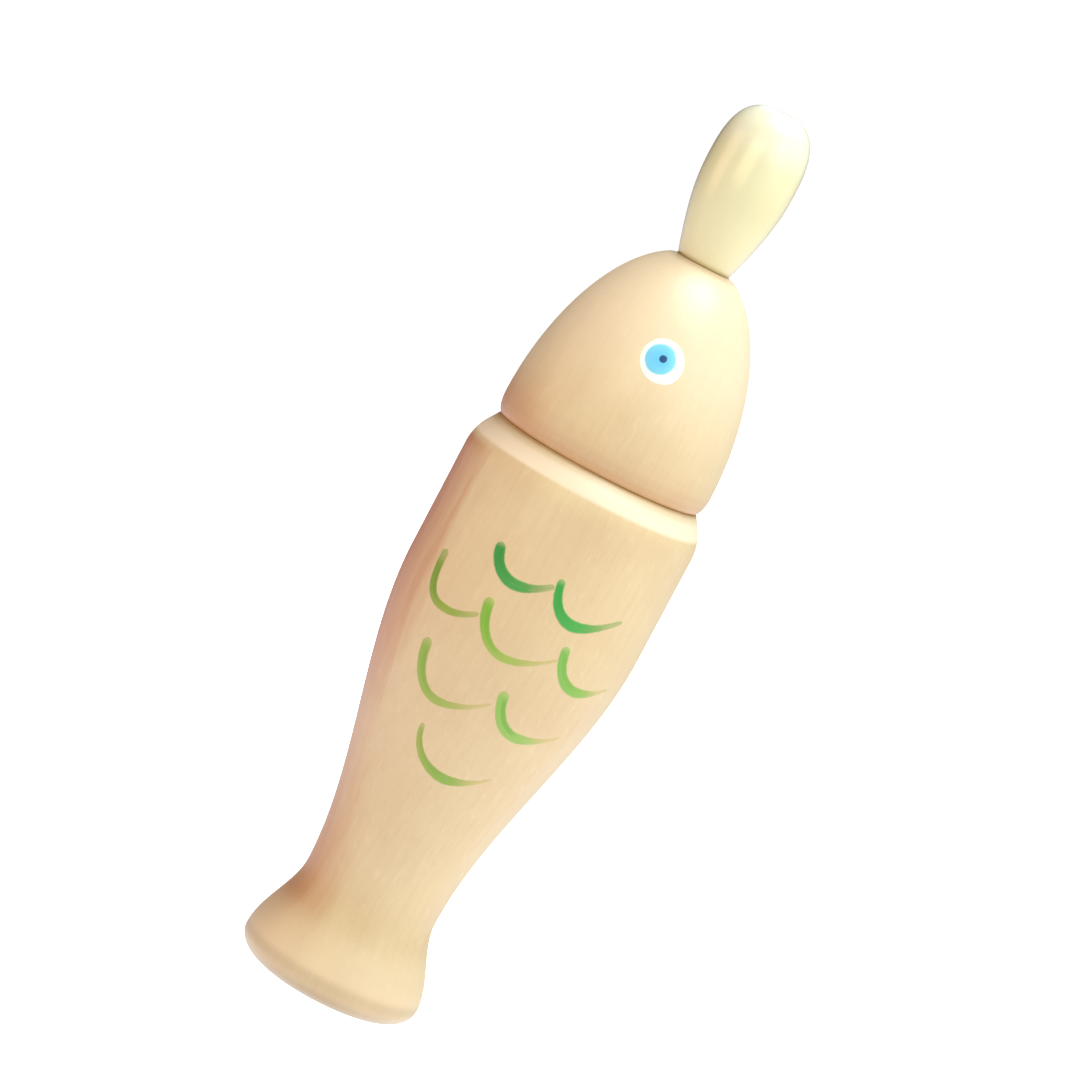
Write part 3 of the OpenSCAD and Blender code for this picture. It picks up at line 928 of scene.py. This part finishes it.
def add_eyes():
    paints = {
        "white": dabbed_paint("eye_white_paint", "#fdfdfb", "#f6f7f4", "#eef4f4", "wood", 0.93),
        "blue": dabbed_paint("eye_blue_paint", "#6fcbf8", "#86d8ee", "#66c2f6", "#f2fbfd", 0.88),
        "navy": dabbed_paint("eye_navy_paint", "#1d5186", "#2a5f95", "#123f66", "#63c2ee", 0.80),
    }
    for name, side in (("front", -1), ("back", 1)):
        for dab, paint, part, (x, up), reach, lifts, seed, swell in EYE_COATS:
            mesh = make_spot(
                f"{name}_eye_{dab}", side, (x, EYE_Z + up), reach, lifts, seed, swell)
            place_piece(mesh, paints[paint], "fish_head", f"{name}_eye_{part}")


# ---- stage, camera and light ----

CAMERA_DISTANCE = 0.9                # metres
CAMERA_RISE = math.radians(7.1)      # above the level of the aim point
CAMERA_ROLL = math.radians(27.88)    # makes the fish lean to the right
AIM = Vector((-3.10, 0, 101.4)) * MM
LENS = 150                           # millimetres
SENSOR = 36                          # millimetres

LIT_POINT = Vector((0, 0, 0.105))    # the middle of the fish, which every softbox faces
# Name, direction from the lit point, distance and size in metres, watts and colour.
SOFTBOXES = [
    ("top_softbox", (0.15, -0.1, 0.98), 0.95, 0.55, 11.0, (0.84, 0.96, 1.0)),
    ("warm_fill", (-0.95, -0.2, 0.10), 0.95, 0.55, 2.2, (1.0, 0.62, 0.38)),
    ("front_fill", (-0.35, -0.95, 0.25), 0.95, 0.55, 2.6, (1.0, 0.85, 0.45)),
    ("key_softbox", (0.6, -0.6, 0.45), 0.95, 0.5, 1.2, (1.0, 0.97, 0.86)),
    ("back_fill", (0.0, 0.8, 0.7), 1.0, 0.4, 4.5, (1.0, 0.98, 0.92)),
]

FLOOR_HALF = 6.0                     # metres, half the floor's width
FLOOR_DROP = 0.0002                  # metres; keeps the floor clear of the tail's flat ring


def camera_axes():
    """The picture's right, its up, and the way back to the camera."""
    back = Vector((0, -math.cos(CAMERA_RISE), math.sin(CAMERA_RISE)))
    side = Vector((1, 0, 0))
    over = back.cross(side)
    right = side * math.cos(CAMERA_ROLL) + over * math.sin(CAMERA_ROLL)
    up = over * math.cos(CAMERA_ROLL) - side * math.sin(CAMERA_ROLL)
    return right, up, back


def add_camera():
    right, up, back = camera_axes()
    data = bpy.data.cameras.new("camera")
    data.lens = LENS
    data.sensor_width = SENSOR
    data.clip_start = 0.01
    camera = bpy.data.objects.new("camera", data)
    turn = Matrix((right, up, back)).transposed().to_4x4()
    camera.matrix_world = Matrix.Translation(AIM + back * CAMERA_DISTANCE) @ turn
    bpy.context.scene.collection.objects.link(camera)
    bpy.context.scene.camera = camera


def add_softbox(name, direction, distance, size, watts, colour):
    """A square area light that faces the middle of the fish."""
    data = bpy.data.lights.new(name, "AREA")
    data.size = size
    data.energy = watts
    data.color = colour
    light = bpy.data.objects.new(name, data)
    away = Vector(direction).normalized()
    light.location = LIT_POINT + away * distance
    light.rotation_euler = away.to_track_quat("Z", "Y").to_euler()
    bpy.context.scene.collection.objects.link(light)


def add_world():
    """White to the eye; as light, a bright bounce from below and a soft glow from the right."""
    world = bpy.data.worlds.new("studio")
    bpy.context.scene.world = world
    world.use_nodes = True
    nodes = Nodes(world.node_tree)
    backdrop = world.node_tree.nodes["Background"]
    backdrop.inputs["Color"].default_value = (1, 1, 1, 1)
    backdrop.inputs["Strength"].default_value = 1.05
    way = nodes.split(nodes.add("ShaderNodeTexCoord").outputs["Generated"])
    down = nodes.math("MAXIMUM", nodes.math("MULTIPLY", way[2], -1.0), 0.0)
    not_straight_down = nodes.math("SUBTRACT", 1.0, nodes.math("MULTIPLY", down, down))
    below = nodes.math("MULTIPLY", down, not_straight_down)
    right = nodes.math("MAXIMUM", way[0], 0.0)
    glow = nodes.mix(below, (0, 0, 0, 1), (3.75, 3.75, 4.1, 1))
    glow = nodes.mix(1.0, glow, nodes.mix(right, (0, 0, 0, 1), (0.86, 0.84, 0.66, 1)), "ADD")
    glow = nodes.mix(1.0, glow, (0.03, 0.03, 0.05, 1), "ADD")
    ambient = nodes.add("ShaderNodeBackground")
    nodes.put(glow, ambient.inputs["Color"])
    seen = nodes.add("ShaderNodeLightPath").outputs["Is Camera Ray"]
    either = nodes.add("ShaderNodeMixShader")
    nodes.put(seen, either.inputs[0])
    nodes.put(ambient.outputs[0], either.inputs[1])
    nodes.put(backdrop.outputs[0], either.inputs[2])
    nodes.put(either.outputs[0], world.node_tree.nodes["World Output"].inputs["Surface"])


def add_floor():
    """A wide pale floor that glows a little, so that it stays as white as the backdrop."""
    half = FLOOR_HALF
    corners = [(-half, -half, 0), (half, -half, 0), (half, half, 0), (-half, half, 0)]
    mesh = bpy.data.meshes.new("floor")
    mesh.from_pydata(corners, [], [(0, 1, 2, 3)])
    floor = bpy.data.objects.new("floor", mesh)
    floor.location.z = -FLOOR_DROP
    bpy.context.scene.collection.objects.link(floor)
    mat, nodes, shader = material("floor_white")
    cloud = nodes.noise(nodes.object_place(), 9.0, 2.0, 0.5)
    tint = nodes.ramp(cloud, (0.3, linear("#f4f4f2")), (0.7, linear("#fafaf9")))
    nodes.put(tint, shader.inputs["Base Color"])
    shader.inputs["Roughness"].default_value = 0.9
    shader.inputs["Specular IOR Level"].default_value = 0.1
    shader.inputs["Emission Color"].default_value = (1, 1, 1, 1)
    shader.inputs["Emission Strength"].default_value = 0.92
    floor.data.materials.append(mat)
    floor.visible_diffuse = False
    floor.visible_glossy = False


bpy.context.scene.view_settings.view_transform = "Standard"
add_camera()
add_wooden_pieces()
add_scales()
add_eyes()
add_floor()
for softbox in SOFTBOXES:
    add_softbox(*softbox)
add_world()
